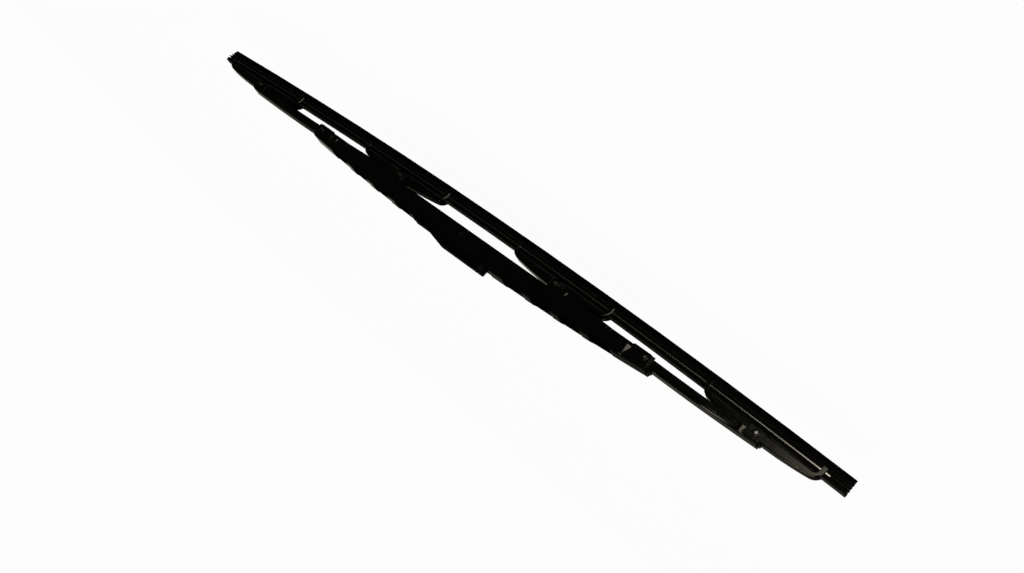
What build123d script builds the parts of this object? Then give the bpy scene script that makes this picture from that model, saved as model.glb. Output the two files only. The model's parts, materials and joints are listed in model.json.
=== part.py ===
from build123d import *
from math import asin, atan2, cos, degrees, sin, sqrt
import os

os.makedirs("parts", exist_ok=True)

# Bracket-frame wiper blade along X, with its wiping lip down and the arm's cross pin at the origin

# Rubber squeegee, with heights taken from the middle of the backing strips
rubber_length = 600.0
rubber_shift = 4.5  # the rubber has slid a little along its claws
bow_radius = 5700.0  # at rest both ends bend up, away from the glass
head_half_width = 3.3
back_height = 3.4
back_chamfer = 0.7
slot_height = 1.0
slot_web = 2.6  # rubber left between the two slots
flange_height = 1.0
claw_groove_height = 1.3
claw_groove_web = 2.6
shoulder_height = 0.8
shoulder_width = 5.0
neck_height = 0.6
neck_width = 1.1
lip_height = 4.2
lip_width = 3.4
lip_edge = 0.8

# Stainless backing strips in the side slots
strip_length = 577.0
strip_shift = 3.5
strip_play = 0.05
strip_recess = 0.1

# Pivots, with stations measured along the strips from the middle of the blade
pivot_station = 161.7  # secondary yoke on main yoke
pivot_half_spacing = 83.1  # claw yokes to each side of it
claw_half_span = 42.6  # claws to each side of a claw yoke's pivot
claw_pivot_height = 6.8  # above the strips
secondary_rise = 4.1  # main pivot above the line of the claw pivots
main_pivot_drop = 4.05  # below the cross pin

# Clearances
claw_play = 0.25  # claw to rubber
side_play = 0.3  # between faces of nested yokes
liner_seat = 0.05  # liner to the yoke that carries it
running_play = 0.08  # liner bore to rivet, adapter bore to pin

# Claw yokes
claw_wall = 0.8
claw_width = 3.2
claw_hook = 1.3  # overlap under the rubber's flange
claw_crown = 3.2  # top of the spine above the pivot
claw_spine_radius = 272.0
claw_bend_radius = 8.0
claw_edge_drop = 2.4  # lower edge of the flank below the pivot
claw_lobe_radius = 3.0
claw_corner = 1.2

# Secondary yokes
secondary_wall = 0.9
secondary_crown = 3.6
secondary_spine_radius = 1750.0
secondary_edge_drop = 2.3
secondary_edge_radius = 2600.0
secondary_lobe_radius = 3.6
secondary_corner = 2.0
ear_radius = 3.5
lobe_blend = 2.0

# Main yoke
main_wall = 1.0
main_end = 3.9  # end of the channel beyond its rivet
main_crown = 9.2  # top of the spine above the pin
main_spine_radius = 2075.0
main_edge = 5.5  # lower edge of the flank below the pin
main_edge_run = 84.0  # length to each side over which that edge is straight
main_slope_run = 32.0
main_slope_drop = 1.4
main_ear_length = 15.0
main_ear_drop = 0.8
main_corner = 2.0
main_spine_round = 3.0
window_count = 4
window_pitch = 25.1
window_length = 18.0
window_first = 56.0
window_shift = -1.9
window_corner = 2.0
opening_left = -46.0
opening_right = 31.5
tab_station = 130.5  # small lanced tab in the lower edge
tab_width = 2.6
tab_slit = 1.0
tab_height = 2.2

# Pressed scoops in the flanks next to the ears
scoop_radius = 8.0
main_scoop_height = 6.5
main_scoop_depth = 1.1
main_scoop_back = 15.5
main_scoop_foot = 2.4  # above the lower edge
secondary_scoop_back = 9.5
secondary_scoop_height = 4.6
secondary_scoop_depth = 0.5

# Rivets, liners and cross pin
rivet_radius = 1.5
rivet_head_radius = 2.2
rivet_head_height = 0.8
rivet_head_chamfer = 0.5
liner_wall = 0.6
boss_wall = 0.6
liner_back = 6.0
collar_gap = 0.5
collar_length = 0.8
collar_lip = 0.5
collar_round = 2.4
pin_radius = 2.4

# Arm adapter
adapter_half_width = 5.6
adapter_nose = 28.5
adapter_tail = 44.0
adapter_top = 13.2
adapter_tail_top = 9.6
adapter_ramp_top = 14.5  # ramp from the tail up to the top, as distances from the pin
adapter_ramp_foot = 31.0
adapter_belly = 5.4  # underside at the pin
adapter_belly_run = 8.0
adapter_nose_foot = 1.0  # underside at the nose, above the pin
adapter_nose_round = 5.0
adapter_crest_round = 3.0
adapter_wall = 1.3
hub_radius = 4.8
snap_gap = 4.2
socket_width = 7.4
socket_height = 3.4
socket_floor = 5.2
socket_floor_wall = 1.0
socket_end = 12.0
tongue_root = 12.0
tongue_length = 22.0
tongue_width = 3.6
tongue_slit = 0.8

# Places and widths that follow from those
flange_bottom = -slot_height / 2 - flange_height
groove_bottom = flange_bottom - claw_groove_height
shoulder_bottom = groove_bottom - shoulder_height
neck_bottom = shoulder_bottom - neck_height
lip_bottom = neck_bottom - lip_height
claw_half_width = head_half_width + claw_play + claw_wall
claw_liner_half_width = claw_half_width + liner_seat + liner_wall
secondary_half_width = claw_liner_half_width + side_play + secondary_wall
main_liner_half_width = secondary_half_width + liner_seat + liner_wall
main_half_width = main_liner_half_width + side_play + main_wall
main_inner_half_width = main_half_width - main_wall
boss_radius = rivet_radius + running_play + boss_wall
strip_outer = head_half_width - strip_recess
strip_inner = slot_web / 2 + strip_play
strip_thickness = slot_height - 2 * strip_play
adapter_tail_foot = socket_floor - socket_floor_wall

claw_reach = bow_radius * cos(claw_half_span / bow_radius) - claw_pivot_height
pivot_half_angle = pivot_half_spacing / bow_radius
secondary_span = claw_reach * sin(pivot_half_angle)
main_reach = claw_reach * cos(pivot_half_angle) - secondary_rise
bow_center = main_reach * cos(pivot_station / bow_radius) - main_pivot_drop
bow_axis = Axis((0, 0, bow_center), (0, -1, 0))
main_pivot_x = main_reach * sin(pivot_station / bow_radius)
main_half_length = main_pivot_x + main_end
secondary_half_length = secondary_span + ear_radius


def side_plane(station, reach):
    """Side plane at a pivot, turned with the bow, local x along the blade and local y up."""
    angle = station / bow_radius
    origin = (reach * sin(angle), 0, bow_center - reach * cos(angle))
    return Plane(origin=origin, x_dir=(cos(angle), 0, sin(angle)), z_dir=(0, -1, 0))


def section_plane(station):
    """Cross-section plane of the rubber, local x across the blade and local y up."""
    angle = station / bow_radius
    origin = (bow_radius * sin(angle), 0, bow_center - bow_radius * cos(angle))
    return Plane(origin=origin, x_dir=(0, 1, 0), z_dir=(cos(angle), 0, sin(angle)))


def arc_height(x, crown, radius):
    """Height at x of an arch with its top at crown."""
    return crown - radius + sqrt(radius**2 - x**2)


def scoop(plane, x, foot, half_width, wall, height, depth):
    """Shallow pressed scoop on a flank: it stands out by depth at its foot and fades towards the spine."""
    tilt = atan2(depth, height)
    center = half_width + depth - scoop_radius / cos(tilt)
    origin = plane.origin + plane.x_dir * x + plane.y_dir * foot + plane.z_dir * center
    lean = plane.y_dir * cos(tilt) - plane.z_dir * sin(tilt)
    with BuildPart() as pressed:
        with BuildSketch(Plane(origin=origin, x_dir=plane.x_dir, z_dir=lean)):
            Circle(scoop_radius)
        extrude(amount=2 * height, both=True)
        with BuildSketch(plane.offset(half_width - wall / 2)):
            with Locations((x, foot + height / 2)):
                Rectangle(4 * scoop_radius, height)
        extrude(amount=depth + wall, mode=Mode.INTERSECT)
    return pressed.part


def claw_yoke(name, station):
    """Smallest channel, with a pair of claws at each end that hook under the rubber's flange."""
    plane = side_plane(station, claw_reach)
    end = claw_half_span + claw_width / 2
    finger = claw_half_span - claw_width / 2
    bend_angle = asin((end - claw_bend_radius) / (claw_spine_radius - claw_bend_radius))
    bend_x = claw_spine_radius * sin(bend_angle)
    bend_z = claw_crown - claw_spine_radius * (1 - cos(bend_angle))
    bend_foot = claw_crown - claw_spine_radius + (claw_spine_radius - claw_bend_radius) * cos(bend_angle)
    hook_top = flange_bottom - claw_pivot_height - claw_play
    hook_bottom = hook_top - claw_wall
    roof = back_height - claw_pivot_height + claw_play
    inner_half_width = claw_half_width - claw_wall
    half_z = arc_height(bend_x / 2, claw_crown, claw_spine_radius)
    roof_z = bend_z - claw_wall
    crook_x = finger - claw_width
    crook_z = roof - claw_width
    with BuildPart() as yoke:
        with BuildSketch(plane):
            with BuildLine():
                spine = ThreePointArc((0, claw_crown), (bend_x / 2, half_z), (bend_x, bend_z))
                bend = TangentArc(spine @ 1, (end, bend_foot), tangent=spine % 1)
                tip = Polyline(bend @ 1, (end, hook_bottom), (finger, hook_bottom), (finger, crook_z))
                crook = Spline(tip @ 1, (crook_x, -claw_edge_drop), tangents=((0, 1), (-1, 0)))
                Line(crook @ 1, (0, -claw_edge_drop))
                mirror(about=Plane.YZ)
            make_face()
        extrude(amount=claw_half_width, both=True)
        rims = yoke.edges().filter_by(GeomType.CIRCLE)
        fillet(rims, claw_corner)
        with BuildSketch(plane):
            with BuildLine():
                lobe = ThreePointArc(
                    (-claw_lobe_radius, 0), (0, -claw_lobe_radius), (claw_lobe_radius, 0)
                )
                Line(lobe @ 1, lobe @ 0)
            make_face()
        extrude(amount=claw_half_width, both=True)
        with BuildSketch(plane):
            with BuildLine():
                under = ThreePointArc((-bend_x, roof_z), (0, claw_crown - claw_wall), (bend_x, roof_z))
                Polyline(
                    under @ 1,
                    (finger, roof),
                    (finger, hook_bottom),
                    (-finger, hook_bottom),
                    (-finger, roof),
                    under @ 0,
                )
            make_face()
            with Locations((0, (roof + hook_top) / 2)):
                Rectangle(4 * end, roof - hook_top)
        extrude(amount=inner_half_width, both=True, mode=Mode.SUBTRACT)
        with BuildSketch(plane):
            with Locations((0, hook_top)):
                Rectangle(4 * end, 4 * claw_wall)
        extrude(amount=head_half_width - claw_hook, both=True, mode=Mode.SUBTRACT)
        with BuildSketch(plane):
            Circle(boss_radius + liner_seat)
        extrude(amount=2 * claw_half_width, both=True, mode=Mode.SUBTRACT)
    yoke.part.label = name
    export_step(yoke.part, f"parts/{name}.step")


def secondary_yoke(name, station):
    """Middle channel: it rocks on the main yoke and carries a claw yoke in each of its ears."""
    plane = side_plane(station, main_reach)
    end = secondary_half_length
    end_top = arc_height(end, secondary_crown, secondary_spine_radius)
    ear_back = secondary_span - ear_radius
    ear_root = arc_height(ear_back, -secondary_edge_drop, secondary_edge_radius)
    with BuildPart() as yoke:
        with BuildSketch(plane) as side:
            with BuildLine():
                ThreePointArc((-end, end_top), (0, secondary_crown), (end, end_top))
                for turn in (1, -1):
                    Line((turn * end, end_top), (turn * end, -secondary_rise))
                    ThreePointArc(
                        (turn * end, -secondary_rise),
                        (turn * secondary_span, -secondary_rise - ear_radius),
                        (turn * ear_back, -secondary_rise),
                    )
                    Line((turn * ear_back, -secondary_rise), (turn * ear_back, ear_root))
                ThreePointArc((-ear_back, ear_root), (0, -secondary_edge_drop), (ear_back, ear_root))
            make_face()
            with BuildLine():
                lobe = ThreePointArc(
                    (-secondary_lobe_radius, 0), (0, -secondary_lobe_radius), (secondary_lobe_radius, 0)
                )
                Line(lobe @ 1, lobe @ 0)
            make_face()
            roots = side.vertices().filter_by(lambda v: abs(v.X) < secondary_lobe_radius and v.Y < 0)
            fillet(roots, lobe_blend)
        extrude(amount=secondary_half_width, both=True)
        rims = yoke.edges().filter_by(lambda e: e.length > secondary_half_length).sort_by(Axis.Z)[-2:]
        fillet(rims, secondary_corner)
        with BuildSketch(plane):
            with BuildLine():
                roof = end_top - secondary_wall
                under = ThreePointArc((-end, roof), (0, secondary_crown - secondary_wall), (end, roof))
                Polyline(under @ 1, (end, -2 * end), (-end, -2 * end), under @ 0)
            make_face()
        extrude(amount=secondary_half_width - secondary_wall, both=True, mode=Mode.SUBTRACT)
        scoop_x = secondary_span - secondary_scoop_back
        foot = arc_height(scoop_x, -secondary_edge_drop, secondary_edge_radius)
        press = (secondary_half_width, secondary_wall, secondary_scoop_height, secondary_scoop_depth)
        for turn in (1, -1):
            pressed = scoop(plane, turn * scoop_x, foot, *press)
            add(pressed)
            mirror(pressed, about=Plane.XZ)
        with BuildSketch(plane):
            Circle(boss_radius + liner_seat)
            with Locations((-secondary_span, -secondary_rise), (secondary_span, -secondary_rise)):
                Circle(rivet_radius)
        extrude(amount=2 * secondary_half_width, both=True, mode=Mode.SUBTRACT)
    yoke.part.label = name
    export_step(yoke.part, f"parts/{name}.step")


def pivot_liner(name, plane, outward, carried, outer_end):
    """Plastic saddle between nested yokes: bosses for the rivet, and a collar past the outer yoke's end."""
    half_width, wall, crown, lobe = carried
    inside = half_width + liner_seat
    outside = inside + liner_wall
    top = crown + liner_seat + liner_wall
    collar_start = outer_end + collar_gap
    front = collar_start + collar_length
    collar = Plane(
        origin=plane.origin + plane.x_dir * (outward * collar_start),
        x_dir=plane.z_dir * -outward,
        z_dir=plane.x_dir * outward,
    )
    with BuildPart() as liner:
        with BuildSketch(plane):
            with Locations((outward * (front - liner_back) / 2, (top - lobe) / 2)):
                Rectangle(front + liner_back, top + lobe)
        extrude(amount=outside, both=True)
        with BuildSketch(collar) as rim:
            with Locations((0, -lobe)):
                width, height = 2 * (outside + collar_lip), lobe + top + collar_lip
                Rectangle(width, height, align=(Align.CENTER, Align.MIN))
            fillet(rim.vertices().sort_by(Axis.Y)[-2:], collar_round)
        extrude(amount=collar_length)
        with BuildSketch(plane):
            with Locations((0, crown + liner_seat)):
                Rectangle(4 * front, 4 * crown + 4 * lobe, align=(Align.CENTER, Align.MAX))
        extrude(amount=inside, both=True, mode=Mode.SUBTRACT)
        with BuildSketch(plane):
            Circle(boss_radius)
        extrude(amount=inside, both=True)
        with BuildSketch(plane):
            Circle(2 * boss_radius)
        extrude(amount=half_width - wall, both=True, mode=Mode.SUBTRACT)
        with BuildSketch(plane):
            Circle(rivet_radius + running_play)
        extrude(amount=2 * outside, both=True, mode=Mode.SUBTRACT)
    liner.part.label = name
    export_step(liner.part, f"parts/{name}.step")


def rivet(name, plane, half_width):
    """Pan-headed rivet across the outer yoke of a pivot."""
    with BuildPart() as pin:
        with BuildSketch(plane):
            Circle(rivet_radius)
        extrude(amount=half_width, both=True)
        for turn in (1, -1):
            with BuildSketch(plane.offset(turn * half_width)):
                Circle(rivet_head_radius)
            extrude(amount=turn * rivet_head_height)
        ends = pin.faces().sort_by(Axis.Y)
        chamfer(ends[0].edges() + ends[-1].edges(), rivet_head_chamfer)
    pin.part.label = name
    export_step(pin.part, f"parts/{name}.step")


# Rubber squeegee
with BuildPart() as squeegee:
    with BuildSketch(section_plane(rubber_shift - rubber_length / 2)):
        with BuildLine():
            Polyline(
                (0, back_height),
                (head_half_width - back_chamfer, back_height),
                (head_half_width, back_height - back_chamfer),
                (head_half_width, slot_height / 2),
                (slot_web / 2, slot_height / 2),
                (slot_web / 2, -slot_height / 2),
                (head_half_width, -slot_height / 2),
                (head_half_width, flange_bottom),
                (claw_groove_web / 2, flange_bottom),
                (claw_groove_web / 2, groove_bottom),
                (shoulder_width / 2, groove_bottom),
                (shoulder_width / 2, shoulder_bottom),
                (neck_width / 2, shoulder_bottom),
                (neck_width / 2, neck_bottom),
                (lip_width / 2, neck_bottom),
                (lip_edge / 2, lip_bottom),
                (0, lip_bottom),
            )
            mirror(about=Plane.YZ)
        make_face()
    revolve(axis=bow_axis, revolution_arc=degrees(rubber_length / bow_radius))
squeegee.part.label = "squeegee"
export_step(squeegee.part, "parts/squeegee.step")

# Backing strips, one in each side slot
for name, side in (("backing_strip_front", 1), ("backing_strip_rear", -1)):
    with BuildPart() as strip:
        with BuildSketch(section_plane(strip_shift - strip_length / 2)):
            with Locations((side * (strip_inner + strip_outer) / 2, 0)):
                Rectangle(strip_outer - strip_inner, strip_thickness)
        revolve(axis=bow_axis, revolution_arc=degrees(strip_length / bow_radius))
    strip.part.label = name
    export_step(strip.part, f"parts/{name}.step")

# Main yoke
with BuildPart() as main_yoke:
    end_top = arc_height(main_half_length, main_crown, main_spine_radius)
    ear_start = main_half_length - main_ear_length
    slope_end = main_edge_run + main_slope_run
    low_edge = -main_edge - main_slope_drop
    with BuildSketch(Plane.XZ) as side:
        with BuildLine():
            spine = ThreePointArc((-main_half_length, end_top), (0, main_crown), (main_half_length, end_top))
            Polyline(
                spine @ 1,
                (main_half_length, low_edge - main_ear_drop),
                (ear_start, low_edge - main_ear_drop),
                (ear_start - main_ear_drop, low_edge),
                (slope_end, low_edge),
                (main_edge_run, -main_edge),
                (0, -main_edge),
            )
            Polyline(
                spine @ 0,
                (-main_half_length, low_edge - main_ear_drop),
                (-ear_start, low_edge - main_ear_drop),
                (-ear_start + main_ear_drop, low_edge),
                (-slope_end, low_edge),
                (-main_edge_run, -main_edge),
                (0, -main_edge),
            )
        make_face()
        ear_tips = side.vertices().filter_by(lambda v: abs(v.X) > ear_start + 1 and v.Y < -main_edge)
        fillet(ear_tips, main_corner)
    extrude(amount=main_half_width, both=True)
    with BuildSketch(Plane.XZ):
        with BuildLine():
            roof = end_top - main_wall
            crown = (0, main_crown - main_wall)
            under = ThreePointArc((-main_half_length, roof), crown, (main_half_length, roof))
            Polyline(
                under @ 1,
                (main_half_length, -main_half_length),
                (-main_half_length, -main_half_length),
                under @ 0,
            )
        make_face()
    extrude(amount=main_inner_half_width, both=True, mode=Mode.SUBTRACT)
    rims = main_yoke.edges().filter_by(lambda e: e.length > main_half_length).sort_by(Axis.Z)
    fillet(rims[-4:-2], main_spine_round - main_wall)
    rims = main_yoke.edges().filter_by(lambda e: e.length > main_half_length)
    rims = rims.filter_by(lambda e: abs(e.center().Y) > main_inner_half_width).sort_by(Axis.Z)
    fillet(rims[-2:], main_spine_round)
    press = (main_half_width, main_wall, main_scoop_height, main_scoop_depth)
    for turn in (1, -1):
        pressed = scoop(Plane.XZ, turn * (main_pivot_x - main_scoop_back), low_edge + main_scoop_foot, *press)
        add(pressed)
        mirror(pressed, about=Plane.XZ)
    with BuildSketch(Plane.XY):
        for turn in (1, -1):
            for index in range(window_count):
                with Locations((window_shift + turn * (window_first + index * window_pitch), 0)):
                    RectangleRounded(window_length, 2 * main_inner_half_width, window_corner)
        with Locations(((opening_left + opening_right) / 2, 0)):
            RectangleRounded(opening_right - opening_left, 2 * main_inner_half_width, window_corner)
    extrude(amount=2 * main_crown, mode=Mode.SUBTRACT)
    with BuildSketch(Plane.XZ):
        Circle(pin_radius)
        with Locations((-main_pivot_x, -main_pivot_drop), (main_pivot_x, -main_pivot_drop)):
            Circle(rivet_radius)
        for turn in (1, -1):
            for edge in (1, -1):
                with Locations((turn * tab_station + edge * (tab_width + tab_slit) / 2, low_edge)):
                    Rectangle(tab_slit, 2 * tab_height)
    extrude(amount=2 * main_half_width, both=True, mode=Mode.SUBTRACT)
main_yoke.part.label = "main_yoke"
export_step(main_yoke.part, "parts/main_yoke.step")

# Secondary yokes, claw yokes, and the liners and rivets of their pivots
claw_size = (claw_half_width, claw_wall, claw_crown, claw_lobe_radius)
secondary_size = (secondary_half_width, secondary_wall, secondary_crown, secondary_lobe_radius)
for hand, turn in (("left", -1), ("right", 1)):
    secondary_yoke(f"secondary_yoke_{hand}", turn * pivot_station)
    main_pivot = side_plane(turn * pivot_station, main_reach)
    pivot_liner(f"main_liner_{hand}", main_pivot, turn, secondary_size, main_end)
    rivet(f"main_rivet_{hand}", main_pivot, main_half_width)
    for place, outward in (("outer", 1), ("inner", -1)):
        station = turn * (pivot_station + outward * pivot_half_spacing)
        claw_yoke(f"claw_yoke_{place}_{hand}", station)
        claw_pivot = side_plane(station, claw_reach)
        pivot_liner(f"claw_liner_{place}_{hand}", claw_pivot, turn * outward, claw_size, ear_radius)
        rivet(f"claw_rivet_{place}_{hand}", claw_pivot, secondary_half_width)

# Cross pin, peened flush in the main yoke
with BuildPart() as cross_pin:
    with BuildSketch(Plane.XZ):
        Circle(pin_radius)
    extrude(amount=main_half_width, both=True)
cross_pin.part.label = "cross_pin"
export_step(cross_pin.part, "parts/cross_pin.step")

# Arm adapter, which snaps over the pin from above and takes a straight arm end in its socket
with BuildPart() as arm_adapter:
    with BuildSketch(Plane.XZ) as side:
        with BuildLine():
            Polyline(
                (adapter_nose, adapter_nose_foot),
                (adapter_nose, adapter_top),
                (-adapter_ramp_top, adapter_top),
                (-adapter_ramp_foot, adapter_tail_top),
                (-adapter_tail, adapter_tail_top),
                (-adapter_tail, adapter_tail_foot),
                (-adapter_belly_run, -adapter_belly),
                (adapter_belly_run, -adapter_belly),
                close=True,
            )
        make_face()
        crest = side.vertices().sort_by(Axis.Y)[-2:]
        fillet(crest, adapter_crest_round)
    extrude(amount=adapter_half_width, both=True)
    with BuildSketch(Plane.XY) as plan:
        with Locations(((adapter_nose - adapter_tail) / 2, 0)):
            Rectangle(adapter_nose + adapter_tail, 2 * adapter_half_width)
        fillet(plan.vertices().sort_by(Axis.X)[-2:], adapter_nose_round)
    extrude(amount=2 * adapter_top, both=True, mode=Mode.INTERSECT)
    with BuildSketch(Plane.XZ):
        Circle(hub_radius)
    extrude(amount=main_inner_half_width - side_play, both=True)
    with BuildSketch(Plane.XZ):
        with Locations((-adapter_tail, socket_floor)):
            Rectangle(adapter_tail + socket_end, socket_height, align=(Align.MIN, Align.MIN))
    extrude(amount=socket_width / 2, both=True, mode=Mode.SUBTRACT)
    with BuildSketch(Plane.XZ):
        with Locations((-adapter_tail + adapter_wall, -adapter_belly)):
            Rectangle(
                adapter_tail - adapter_belly_run - adapter_wall,
                adapter_belly + adapter_tail_foot,
                align=(Align.MIN, Align.MIN),
            )
        with Locations((socket_end + adapter_wall, -adapter_belly)):
            Rectangle(
                adapter_nose - socket_end - adapter_nose_round,
                adapter_belly + adapter_top - adapter_wall,
                align=(Align.MIN, Align.MIN),
            )
    extrude(amount=adapter_half_width - adapter_wall, both=True, mode=Mode.SUBTRACT)
    with BuildSketch(Plane.XY.offset(socket_floor)):
        for edge in (1, -1):
            with Locations((-tongue_root, edge * (tongue_width + tongue_slit) / 2)):
                Rectangle(tongue_length, tongue_slit, align=(Align.MAX, Align.CENTER))
        with Locations((-tongue_root - tongue_length, 0)):
            Rectangle(tongue_slit, tongue_width + 2 * tongue_slit)
    extrude(amount=-2 * adapter_wall, mode=Mode.SUBTRACT)
    with BuildSketch(Plane.XZ):
        Circle(pin_radius + running_play)
        Rectangle(snap_gap, 2 * adapter_belly, align=(Align.CENTER, Align.MAX))
    extrude(amount=2 * main_half_width, both=True, mode=Mode.SUBTRACT)
arm_adapter.part.label = "arm_adapter"
export_step(arm_adapter.part, "parts/arm_adapter.step")
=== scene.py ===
"""Looks of the wiper blade: rubber and strips cut into pieces, materials, light and camera."""

import json
from math import cos, pi, radians, sin, sqrt

import bmesh
import bpy
from mathutils import Matrix, Vector


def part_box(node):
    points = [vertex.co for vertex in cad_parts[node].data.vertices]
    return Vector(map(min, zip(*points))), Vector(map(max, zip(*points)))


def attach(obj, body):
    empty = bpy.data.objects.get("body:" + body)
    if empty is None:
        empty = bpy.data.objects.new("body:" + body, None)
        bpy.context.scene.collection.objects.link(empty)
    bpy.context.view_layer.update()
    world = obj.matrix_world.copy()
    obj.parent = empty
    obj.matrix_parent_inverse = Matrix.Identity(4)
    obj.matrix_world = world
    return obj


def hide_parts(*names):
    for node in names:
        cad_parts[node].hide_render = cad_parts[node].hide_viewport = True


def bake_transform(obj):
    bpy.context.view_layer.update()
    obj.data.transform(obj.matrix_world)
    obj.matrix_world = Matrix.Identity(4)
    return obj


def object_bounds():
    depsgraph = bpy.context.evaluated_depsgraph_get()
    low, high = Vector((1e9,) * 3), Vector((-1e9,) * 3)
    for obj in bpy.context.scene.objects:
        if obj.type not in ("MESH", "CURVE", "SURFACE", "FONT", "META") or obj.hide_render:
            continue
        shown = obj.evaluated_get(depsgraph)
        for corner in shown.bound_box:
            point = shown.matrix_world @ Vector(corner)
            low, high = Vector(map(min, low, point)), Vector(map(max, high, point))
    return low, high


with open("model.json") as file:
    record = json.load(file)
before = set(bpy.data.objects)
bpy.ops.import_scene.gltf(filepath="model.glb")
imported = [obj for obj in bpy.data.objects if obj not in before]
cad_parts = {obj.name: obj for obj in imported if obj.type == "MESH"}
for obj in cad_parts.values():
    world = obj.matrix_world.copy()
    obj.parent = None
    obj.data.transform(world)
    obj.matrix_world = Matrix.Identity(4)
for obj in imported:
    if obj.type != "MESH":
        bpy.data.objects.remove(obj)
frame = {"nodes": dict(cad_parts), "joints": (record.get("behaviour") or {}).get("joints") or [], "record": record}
cad_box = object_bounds()
scene = bpy.context.scene

# Directions in the frame of the part
BLADE_AXIS = Vector((1.0, 0.0, 0.0))
FLANK_AXIS = Vector((0.0, 1.0, 0.0))

# Camera: it faces the front flank, turned about its own line of sight as in the photograph
PHOTO_WIDTH = 1024
CAMERA_PLACE = Vector((0.4152, 0.6323, 0.1333))
CAMERA_AIM = Vector((0.0517, 0.0, 0.0073))
CAMERA_ROLL = radians(-32.14)
CAMERA_CLIP = (0.01, 20.0)
FOCAL_PIXELS = 1097.5
SENSOR_WIDTH = 36.0

# Floor, far enough below the lip for the ends of the bent blade
FLOOR_DROP = 0.012
FLOOR_HALF_SIZE = 2.0
FLOOR_WHITES = (0.93, 0.96)
FLOOR_GLOW = 0.92  # share of its white that is there in the shadow too

# Light: plain all round, with dark cards about the blade that keep its gloss black
PLAIN_LEVEL = 0.7
WHITE = 0.978
CARD_DISTANCE = 1.7
CARD_HALF_LENGTH = 3.5
CARD_DARK = 0.011
CARD_LEFT = 0.1
CARD_TINT = (1.0, 0.945, 0.74)  # warm light
BACK_FADE = (0.55, -0.2)  # along Z, from the dark to the back card's full level
BACK_LEVEL = 0.45
BACK_END = 0.45  # along X; further right, edges that face right would show it
LIGHT_DISTANCE = 1.5
LIGHT_FOOT = -0.95  # along Z, with the tops in front and behind
LIGHT_FRONT_TOP = 0.5
LIGHT_BACK_TOP = -0.15
LIGHT_FADE = (-0.18, 0.12)  # along X, from the dark to the full level
LIGHT_END = 1.3
LIGHT_LEVEL = 2.0
TOP_LIGHT_HALF_WIDTH = 0.5
KEY_PLACE = Vector((1.2, 0.6, 1.1))
KEY_TARGET = Vector((0.05, 0.0, 0.0))
KEY_SIZE = 0.8
KEY_LEVEL = 2.0  # brightness of the lamp's own surface

# Materials, with greys as stops of (value, grey)
NOISE_RANGE = (0.3, 0.7)  # where most values of a noise lie
NOISE_ROUGHNESS = 0.55
BLACK_SKIN = ((0.3, 0.0004), (0.75, 0.0012))
BLACK_NYLON = ((0.3, 0.0006), (0.75, 0.0018))
BLACK_RUBBER = ((0.3, 0.0003), (0.8, 0.0011))
ROLLED_STEEL = ((0.3, 0.3), (0.75, 0.5))
RIVET_GREYS = ((0.0, 0.0006), (1.0, 0.7))  # paint and bare steel
EDGE_SAMPLES = 6
# Painted sheen on the rubber: a paler colour on its faces that point up, in place of the light that falls on its
# back
UPWARD_SHEEN = (0.075, 0.068, 0.056)
SHEEN_SLOPE = (0.5, 0.95)  # Z of a normal, from the clean black to the painted sheen
BARE_STEEL_RADII = (0.0012, 0.0008)  # on a rivet's head, from the paint to the bare steel
METAL_RADII = (0.0014, 0.0012)
PAINT_RAGGEDNESS = 0.00025

# Adapter
ADAPTER_ROUND = 0.0018  # of its long top edges
ROUND_STEPS = 8
SOCKET_CEILING = 0.0086
UNDERSIDE_TOP = 0.0015
UNDERSIDE_SLOPE = -0.8  # Z of a normal that counts as facing down
NOSE_ROOM = ((0.001, 0.0), (0.008, 0.0018), (0.0285, 0.0003))  # along X, with the lift of the underside

# Rubber and strips
SLICE = 0.008
EDGE_SOFTENING = 0.00018
STRIP_EDGE_SOFTENING = 0.00008
SHARP_ANGLE = radians(30)
SEAM_HALF_LENGTH = 0.0015
SEAM_INSET = 0.00004
BEYOND_ENDS = 1.0

WELD = 1e-6
TOLERANCE = 1e-5
HANDS = ("left", "right")
PLACES = ("outer", "inner")
JOINT_PLACES = {joint["child"]: Vector(joint["pos_m"]) for joint in frame["joints"]}


def add_camera():
    """Camera at the photograph's place, turned about its own line of sight."""
    forward = (CAMERA_AIM - CAMERA_PLACE).normalized()
    side = forward.cross(FLANK_AXIS).normalized()
    rise = side.cross(forward)
    right = side * cos(CAMERA_ROLL) + rise * sin(CAMERA_ROLL)
    up = right.cross(forward)
    data = bpy.data.cameras.new("photo_camera")
    data.sensor_fit = "HORIZONTAL"
    data.sensor_width = SENSOR_WIDTH
    data.lens = FOCAL_PIXELS * SENSOR_WIDTH / PHOTO_WIDTH
    data.clip_start, data.clip_end = CAMERA_CLIP
    camera = bpy.data.objects.new("photo_camera", data)
    turn = Matrix((right, up, -forward)).transposed().to_4x4()
    camera.matrix_world = Matrix.Translation(CAMERA_PLACE) @ turn
    scene.collection.objects.link(camera)
    scene.camera = camera


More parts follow.
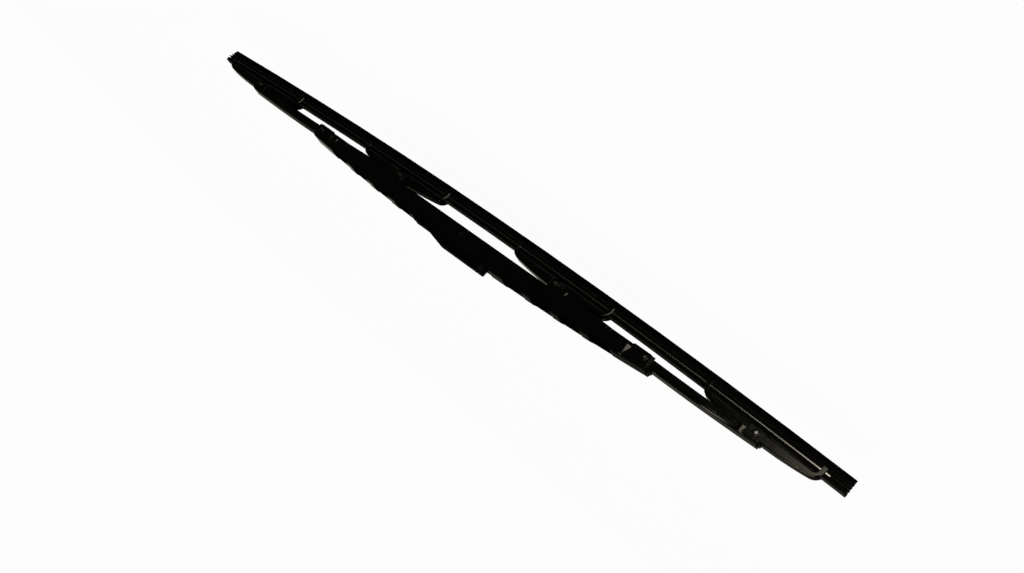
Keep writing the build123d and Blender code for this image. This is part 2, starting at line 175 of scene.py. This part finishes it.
class Nodes:
    """Short hand for one material's or world's node tree."""

    def __init__(self, owner):
        owner.use_nodes = True
        self.tree = owner.node_tree
        self.nodes = owner.node_tree.nodes

    def add(self, kind, **values):
        """New node with its own settings."""
        node = self.nodes.new(kind)
        for name, value in values.items():
            setattr(node, name, value)
        return node

    def link(self, source, target):
        self.tree.links.new(source, target)

    def coordinates(self, kind="Object"):
        return self.add("ShaderNodeTexCoord").outputs[kind]

    def along(self, vector, axis):
        """One axis of a vector."""
        node = self.add("ShaderNodeSeparateXYZ")
        self.link(vector, node.inputs["Vector"])
        return node.outputs[axis]

    def noise(self, scale, detail=3.0):
        """Noise whose scale, in waves per metre, may differ along X, Y and Z."""
        mapping = self.add("ShaderNodeMapping")
        mapping.inputs["Scale"].default_value = scale
        self.link(self.coordinates(), mapping.inputs["Vector"])
        texture = self.add("ShaderNodeTexNoise")
        texture.inputs["Scale"].default_value = 1.0
        texture.inputs["Detail"].default_value = detail
        texture.inputs["Roughness"].default_value = NOISE_ROUGHNESS
        self.link(mapping.outputs["Vector"], texture.inputs["Vector"])
        return texture.outputs["Fac"]

    def ramp(self, value, *stops):
        """Grey by value, from stops of (place, grey)."""
        node = self.add("ShaderNodeValToRGB")
        for element, (place, grey) in zip(node.color_ramp.elements, stops):
            element.position = place
            element.color = (grey, grey, grey, 1.0)
        self.link(value, node.inputs["Fac"])
        return node.outputs["Color"]

    def span(self, value, low, high, first=0.0, last=1.0, smooth=False):
        """Value taken from the range low to high into the range first to last."""
        node = self.add("ShaderNodeMapRange")
        if smooth:
            node.interpolation_type = "SMOOTHSTEP"
        node.inputs["From Min"].default_value = low
        node.inputs["From Max"].default_value = high
        node.inputs["To Min"].default_value = first
        node.inputs["To Max"].default_value = last
        self.link(value, node.inputs["Value"])
        return node.outputs["Result"]

    def math(self, operation, first, second):
        """Sum, product or the like of two values, of which either may be a number."""
        node = self.add("ShaderNodeMath", operation=operation)
        for socket, value in zip(node.inputs, (first, second)):
            if isinstance(value, (int, float)):
                socket.default_value = value
            else:
                self.link(value, socket)
        return node.outputs["Value"]

    def bump(self, height, distance, strength, normal=None):
        """Normal of a rough surface, on top of another normal if there is one."""
        node = self.add("ShaderNodeBump")
        node.inputs["Distance"].default_value = distance
        node.inputs["Strength"].default_value = strength
        self.link(height, node.inputs["Height"])
        if normal is not None:
            self.link(normal, node.inputs["Normal"])
        return node.outputs["Normal"]

    def soft_edge(self, radius):
        """Normal that rounds sharp edges."""
        node = self.add("ShaderNodeBevel", samples=EDGE_SAMPLES)
        node.inputs["Radius"].default_value = radius
        return node.outputs["Normal"]

    def background(self, level):
        node = self.add("ShaderNodeBackground")
        node.inputs["Color"].default_value = (level, level, level, 1.0)
        return node

    def mix(self, factor, first, second):
        """Shader between two others."""
        node = self.add("ShaderNodeMixShader")
        self.link(factor, node.inputs["Fac"])
        self.link(first.outputs[0], node.inputs[1])
        self.link(second.outputs[0], node.inputs[2])
        return node

    def sight(self):
        """One for a ray of the camera, or of a reflection or a view through glass."""
        rays = self.add("ShaderNodeLightPath").outputs
        mirrored = self.math("MAXIMUM", rays["Is Glossy Ray"], rays["Is Transmission Ray"])
        return self.math("MAXIMUM", rays["Is Camera Ray"], mirrored)

    def finish(self, shader, colour, roughness, normal):
        """Links what varies over a surface to its shader."""
        self.link(colour, shader.inputs["Base Color"])
        self.link(roughness, shader.inputs["Roughness"])
        self.link(normal, shader.inputs["Normal"])


def new_material(name, **constants):
    """Material with a principled shader and its constant values, such as Metallic."""
    material = bpy.data.materials.new(name)
    nodes = Nodes(material)
    shader = nodes.nodes["Principled BSDF"]
    for socket, value in constants.items():
        shader.inputs[socket.replace("_", " ")].default_value = value
    return material, nodes, shader


def frame_paint():
    """Black stoved paint on pressed steel, with a slight orange peel and a patchy gloss."""
    material, nodes, shader = new_material("frame_paint", Coat_Weight=0.25, Coat_Roughness=0.08)
    patches = nodes.noise(scale=(60, 160, 160))
    mottle = nodes.noise(scale=(400, 900, 900))
    peel = nodes.noise(scale=(650, 650, 650), detail=1.0)
    nodes.finish(
        shader,
        colour=nodes.ramp(patches, *BLACK_SKIN),
        roughness=nodes.span(mottle, *NOISE_RANGE, first=0.10, last=0.18),
        normal=nodes.bump(peel, distance=0.00002, strength=0.5, normal=nodes.soft_edge(radius=0.0003)),
    )
    return material


def adapter_plastic():
    """Black moulded plastic with a smooth skin."""
    material, nodes, shader = new_material("adapter_plastic", Specular_IOR_Level=0.04)
    patches = nodes.noise(scale=(120, 120, 120))
    mottle = nodes.noise(scale=(900, 900, 900))
    skin = nodes.noise(scale=(1500, 1500, 1500), detail=2.0)
    nodes.finish(
        shader,
        colour=nodes.ramp(patches, *BLACK_SKIN),
        roughness=nodes.span(mottle, *NOISE_RANGE, first=0.35, last=0.5),
        normal=nodes.bump(skin, distance=0.00001, strength=0.4, normal=nodes.soft_edge(radius=0.0004)),
    )
    return material


def liner_plastic():
    """Black nylon with a dull skin."""
    material, nodes, shader = new_material("liner_plastic", Specular_IOR_Level=0.25)
    patches = nodes.noise(scale=(300, 300, 300))
    skin = nodes.noise(scale=(2500, 2500, 2500))
    nodes.finish(
        shader,
        colour=nodes.ramp(patches, *BLACK_NYLON),
        roughness=nodes.span(patches, *NOISE_RANGE, first=0.4, last=0.55),
        normal=nodes.bump(skin, distance=0.00002, strength=0.5, normal=nodes.soft_edge(radius=0.0002)),
    )
    return material


def wiping_rubber():
    """Matt black rubber with lengthwise lines from its die, and a painted sheen: paler colour on what faces up, in
    place of the light on its back.
    """
    material, nodes, shader = new_material("wiping_rubber", Specular_IOR_Level=0.03)
    bloom = nodes.noise(scale=(25, 250, 250), detail=5.0)
    lines = nodes.noise(scale=(6, 3500, 3500), detail=2.0)
    # Painted sheen: the rubber is paler where its faces point up, as if lit from above
    upward = nodes.span(nodes.along(nodes.coordinates("Normal"), "Z"), *SHEEN_SLOPE, smooth=True)
    colour = nodes.add("ShaderNodeMix", data_type="RGBA")
    clean, sheen = (socket for socket in colour.inputs if socket.type == "RGBA")
    mixed = next(socket for socket in colour.outputs if socket.type == "RGBA")
    nodes.link(nodes.math("MULTIPLY", upward, bloom), colour.inputs["Factor"])
    nodes.link(nodes.ramp(bloom, *BLACK_RUBBER), clean)
    # The paler colour is painted light on the faces that point up
    sheen.default_value = (*UPWARD_SHEEN, 1.0)
    nodes.finish(
        shader,
        colour=mixed,
        roughness=nodes.span(bloom, *NOISE_RANGE, first=0.38, last=0.52),
        normal=nodes.bump(lines, distance=0.00001, strength=0.4),
    )
    return material


def strip_steel():
    """Cold rolled stainless strip with fine lengthwise scratches."""
    material, nodes, shader = new_material("strip_steel", Metallic=1.0)
    scratches = nodes.noise(scale=(15, 6000, 6000))
    nodes.finish(
        shader,
        colour=nodes.ramp(scratches, *ROLLED_STEEL),
        roughness=nodes.span(scratches, *NOISE_RANGE, first=0.16, last=0.26),
        normal=nodes.bump(scratches, distance=0.00001, strength=0.15),
    )
    return material


def rivet_steel(name, centre):
    """Rivet with paint left round its head and bare steel in the middle; centre is a point on its axis."""
    material, nodes, shader = new_material(name)
    offset = nodes.add("ShaderNodeMapping", vector_type="TEXTURE")
    offset.inputs["Location"].default_value = (centre.x, 0.0, centre.z)
    nodes.link(nodes.coordinates(), offset.inputs["Vector"])
    flat = nodes.add("ShaderNodeVectorMath", operation="MULTIPLY")
    flat.inputs[1].default_value = Vector((1.0, 1.0, 1.0)) - FLANK_AXIS
    nodes.link(offset.outputs["Vector"], flat.inputs[0])
    length = nodes.add("ShaderNodeVectorMath", operation="LENGTH")
    nodes.link(flat.outputs["Vector"], length.inputs[0])
    rough = nodes.noise(scale=(900, 900, 900))
    ragged = nodes.span(rough, *NOISE_RANGE, first=-PAINT_RAGGEDNESS, last=PAINT_RAGGEDNESS)
    radius = nodes.math("ADD", length.outputs["Value"], ragged)
    bare = nodes.span(radius, *BARE_STEEL_RADII, smooth=True)
    nodes.link(nodes.span(radius, *METAL_RADII), shader.inputs["Metallic"])
    nodes.finish(
        shader,
        colour=nodes.ramp(bare, *RIVET_GREYS),
        roughness=nodes.span(rough, *NOISE_RANGE, first=0.15, last=0.26),
        normal=nodes.bump(rough, distance=0.00003, strength=0.5, normal=nodes.soft_edge(radius=0.0003)),
    )
    return material


def copy_mesh(node):
    """Editable copy of a CAD node's mesh, with its seams welded."""
    work = bmesh.new()
    work.from_mesh(frame["nodes"][node].data)
    bmesh.ops.remove_doubles(work, verts=work.verts, dist=WELD)
    return work


def bisect(work, axis, place, **options):
    """Cuts a mesh across an axis and gives the edges on the cut."""
    everything = work.verts[:] + work.edges[:] + work.faces[:]
    made = bmesh.ops.bisect_plane(work, geom=everything, plane_co=axis * place, plane_no=axis, **options)
    return [item for item in made["geom_cut"] if isinstance(item, bmesh.types.BMEdge)]


def finish_mesh(work, name, sharp_angle):
    """Mesh with smooth faces, and sharp edges where they meet at more than an angle."""
    for face in work.faces:
        face.smooth = True
    for edge in work.edges:
        edge.smooth = edge.is_manifold and edge.calc_face_angle() < sharp_angle
    mesh = bpy.data.meshes.new(name)
    work.to_mesh(mesh)
    work.free()
    return mesh


def add_piece(name, mesh, material, node):
    """New piece that stands for a CAD node."""
    piece = bpy.data.objects.new(name, mesh)
    scene.collection.objects.link(piece)
    piece.data.materials.append(material)
    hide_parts(node)
    return piece


def slices(node, low, high, softening):
    """Copy of a CAD node's mesh between two places along X, divided so that it can bend."""
    work = copy_mesh(node)
    for place, keep_above in ((low, True), (high, False)):
        rim = bisect(work, BLADE_AXIS, place, clear_inner=keep_above, clear_outer=not keep_above)
        if rim:
            bmesh.ops.holes_fill(work, edges=rim)
    left = min(vert.co.x for vert in work.verts)
    right = max(vert.co.x for vert in work.verts)
    count = round((right - left) / SLICE)
    for index in range(1, count):
        bisect(work, BLADE_AXIS, left + (right - left) * index / count)
    bmesh.ops.recalc_face_normals(work, faces=work.faces)

    def on_cut(edge):
        return any(all(abs(vert.co.x - cut) < WELD for vert in edge.verts) for cut in (low, high))

    sharp = [edge for edge in work.edges if edge.is_manifold and edge.calc_face_angle() > SHARP_ANGLE]
    bmesh.ops.bevel(
        work,
        geom=[edge for edge in sharp if not on_cut(edge)],
        offset=softening,
        offset_type="OFFSET",
        segments=2,
        profile=0.5,
        affect="EDGES",
    )
    return finish_mesh(work, node, 2 * SHARP_ANGLE)


def add_bending(node, softening, material):
    """Four pieces in place of one long node, cut at the pivots of the secondary yokes and in the middle.

    A core inside the middle cut fills the slit that opens there when the blade hangs free.
    """
    for hand in HANDS:
        secondary = f"secondary_{hand}"
        middle = JOINT_PLACES[secondary].x
        end = BEYOND_ENDS if middle > 0 else -BEYOND_ENDS
        for place in PLACES:
            low, high = sorted((middle, end if place == "outer" else 0.0))
            mesh = slices(node, low, high, softening)
            piece = add_piece(f"{node}_{place}_{hand}", mesh, material, node)
            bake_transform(piece)
    core = slices(node, -SEAM_HALF_LENGTH, SEAM_HALF_LENGTH, softening)
    for vert in core.vertices:
        vert.co -= vert.normal * SEAM_INSET
    seam = add_piece(f"{node}_seam", core, material, node)
    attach(seam, "claw_inner_left")


def nose_lift(place):
    """How much the adapter's underside is lifted at a place along X."""
    lift = 0.0
    for (start, first), (end, last) in zip(NOSE_ROOM, NOSE_ROOM[1:]):
        if start < place <= end + TOLERANCE:
            lift = first + (last - first) * (place - start) / (end - start)
    return lift


def add_adapter(material):
    """Copy of the arm adapter in place of its node, rounded on top, with room below for the bent rubber."""
    node = "arm_adapter"
    work = copy_mesh(node)
    half_width = max(vert.co.y for vert in work.verts if vert.co.z > SOCKET_CEILING)
    flat = half_width - ADAPTER_ROUND
    for side in (-1, 1):
        for step in range(ROUND_STEPS):
            bisect(work, FLANK_AXIS, side * (flat + ADAPTER_ROUND * sin(pi / 2 * step / ROUND_STEPS)))
    bisect(work, BLADE_AXIS, NOSE_ROOM[0][0])
    bmesh.ops.recalc_face_normals(work, faces=work.faces)
    drops = {}
    for vert in work.verts:
        slopes = [face.normal.z for face in vert.link_faces]
        over = abs(vert.co.y) - flat
        if vert.co.z > SOCKET_CEILING and max(slopes) > 0 and over > 0:
            drops[vert] = max(slopes) * (ADAPTER_ROUND - sqrt(max(ADAPTER_ROUND**2 - over**2, 0)))
        below = vert.co.z < UNDERSIDE_TOP and abs(vert.co.y) < half_width + TOLERANCE
        if below and min(slopes) < UNDERSIDE_SLOPE:
            drops[vert] = -nose_lift(vert.co.x)
    for vert, drop in drops.items():
        vert.co.z -= drop
    work.normal_update()
    mesh = finish_mesh(work, node, SHARP_ANGLE)
    piece = add_piece("adapter_block", mesh, material, node)
    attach(piece, "adapter")


def dress(node, material):
    """Gives a CAD node a finished material."""
    slots = frame["nodes"][node].data.materials
    slots.clear()
    slots.append(material)


def dress_nodes():
    """Paint, plastic and steel on the CAD nodes that stay; the hidden pin is painted with the frame."""
    finishes = {"frame_paint": frame_paint(), "liner_plastic": liner_plastic()}
    for part in frame["record"]["subparts"]:
        node, finish = part["node"], part["material_slot"]
        if node == "cross_pin":
            dress(node, finishes["frame_paint"])
        elif finish == "rivet_steel":
            low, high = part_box(node)
            dress(node, rivet_steel(f"steel_{node}", (low + high) / 2))
        elif finish in finishes:
            dress(node, finishes[finish])


def add_stage(name, corners):
    """Flat piece of the studio, with an empty material's nodes to fill and the output that they end in."""
    mesh = bpy.data.meshes.new(name)
    mesh.from_pydata(corners, [], [(0, 1, 2, 3)])
    item = bpy.data.objects.new(name, mesh)
    scene.collection.objects.link(item)
    material = bpy.data.materials.new(name)
    mesh.materials.append(material)
    nodes = Nodes(material)
    nodes.nodes.clear()
    return item, nodes, nodes.add("ShaderNodeOutputMaterial").inputs["Surface"]


def add_floor():
    """Pale floor, white to the camera apart from the shadow on it."""
    half = FLOOR_HALF_SIZE
    corners = [(-half, -half, 0), (half, -half, 0), (half, half, 0), (-half, half, 0)]
    floor, nodes, output = add_stage("floor", corners)
    floor.location.z = cad_box[0][2] - FLOOR_DROP
    floor.visible_glossy = False
    floor.visible_shadow = False
    diffuse = nodes.add("ShaderNodeBsdfDiffuse")
    tint = nodes.ramp(nodes.noise(scale=(8, 8, 8)), *zip(NOISE_RANGE, FLOOR_WHITES))
    nodes.link(tint, diffuse.inputs["Color"])
    glow = nodes.add("ShaderNodeEmission")
    glow.inputs["Strength"].default_value = 1.0
    seen = nodes.math("MULTIPLY", nodes.sight(), FLOOR_GLOW)
    nodes.link(nodes.mix(seen, diffuse, glow).outputs["Shader"], output)


def add_world():
    """Plain light from all round, white to the camera and in reflections."""
    world = bpy.data.worlds.new("studio")
    scene.world = world
    nodes = Nodes(world)
    nodes.nodes.clear()
    output = nodes.add("ShaderNodeOutputWorld")
    light = nodes.mix(nodes.sight(), nodes.background(PLAIN_LEVEL), nodes.background(WHITE))
    nodes.link(light.outputs["Shader"], output.inputs["Surface"])


def add_card(name, corners, level, axis=None, fade=None):
    """Card of the studio, which only gloss shows; with an axis, its level fades in along it."""
    card, nodes, output = add_stage(name, corners)
    card.visible_camera = False
    card.visible_diffuse = False
    card.visible_transmission = False
    card.visible_shadow = False
    surface = nodes.add("ShaderNodeEmission")
    surface.inputs["Color"].default_value = (*CARD_TINT, 1.0)
    surface.inputs["Strength"].default_value = level
    if axis:
        place = nodes.along(nodes.coordinates(), axis)
        strength = nodes.span(place, *fade, first=CARD_DARK, last=level, smooth=True)
        nodes.link(strength, surface.inputs["Strength"])
    nodes.link(surface.outputs["Emission"], output)


def lengthwise(first, last, left, right):
    """Corners of a card between two lines along the blade, given by Y and Z."""
    return [(left, *first), (right, *first), (right, *last), (left, *last)]


def add_cards():
    """Dark channel about the blade, open on the right, with soft lights in front, behind and above."""
    far, near, half = CARD_DISTANCE, LIGHT_DISTANCE, CARD_HALF_LENGTH
    add_card("card_front", lengthwise((far, -far), (far, far), -half, half), CARD_DARK)
    add_card("card_top", lengthwise((far, far), (-far, far), -half, half), CARD_DARK)
    add_card("card_back", lengthwise((-far, far), (-far, -far), -half, BACK_END), BACK_LEVEL, "Z", BACK_FADE)
    add_card("card_back_right", lengthwise((-far, far), (-far, -far), BACK_END, half), CARD_DARK)
    add_card("card_below", lengthwise((-far, -far), (far, -far), -half, half), CARD_DARK)
    square = [(-far, -far), (far, -far), (far, far), (-far, far)]
    add_card("card_left", [(-half, *corner) for corner in square], CARD_LEFT)
    wide = TOP_LIGHT_HALF_WIDTH
    for name, first, last, end in (
        ("light_front", (near, LIGHT_FOOT), (near, LIGHT_FRONT_TOP), LIGHT_END),
        ("light_back", (-near, LIGHT_FOOT), (-near, LIGHT_BACK_TOP), BACK_END),
        ("light_top", (wide, near), (-wide, near), LIGHT_END),
    ):
        add_card(name, lengthwise(first, last, LIGHT_FADE[0], end), LIGHT_LEVEL, "X", LIGHT_FADE)


def add_key():
    """Soft box from the upper right, which gloss doesn't show."""
    data = bpy.data.lights.new("key", "AREA")
    data.shape = "SQUARE"
    data.size = KEY_SIZE
    data.energy = KEY_LEVEL * pi * KEY_SIZE**2
    lamp = bpy.data.objects.new("key", data)
    turn = (KEY_TARGET - KEY_PLACE).to_track_quat("-Z", "Z").to_matrix().to_4x4()
    lamp.matrix_world = Matrix.Translation(KEY_PLACE) @ turn
    lamp.visible_camera = False
    lamp.visible_glossy = False
    scene.collection.objects.link(lamp)


scene.view_settings.view_transform = "Standard"
add_camera()
add_floor()
add_world()
add_cards()
add_key()

add_bending("squeegee", EDGE_SOFTENING, wiping_rubber())
strip_finish = strip_steel()
for side in ("front", "rear"):
    add_bending(f"backing_strip_{side}", STRIP_EDGE_SOFTENING, strip_finish)
add_adapter(adapter_plastic())
dress_nodes()

bpy.context.view_layer.update()
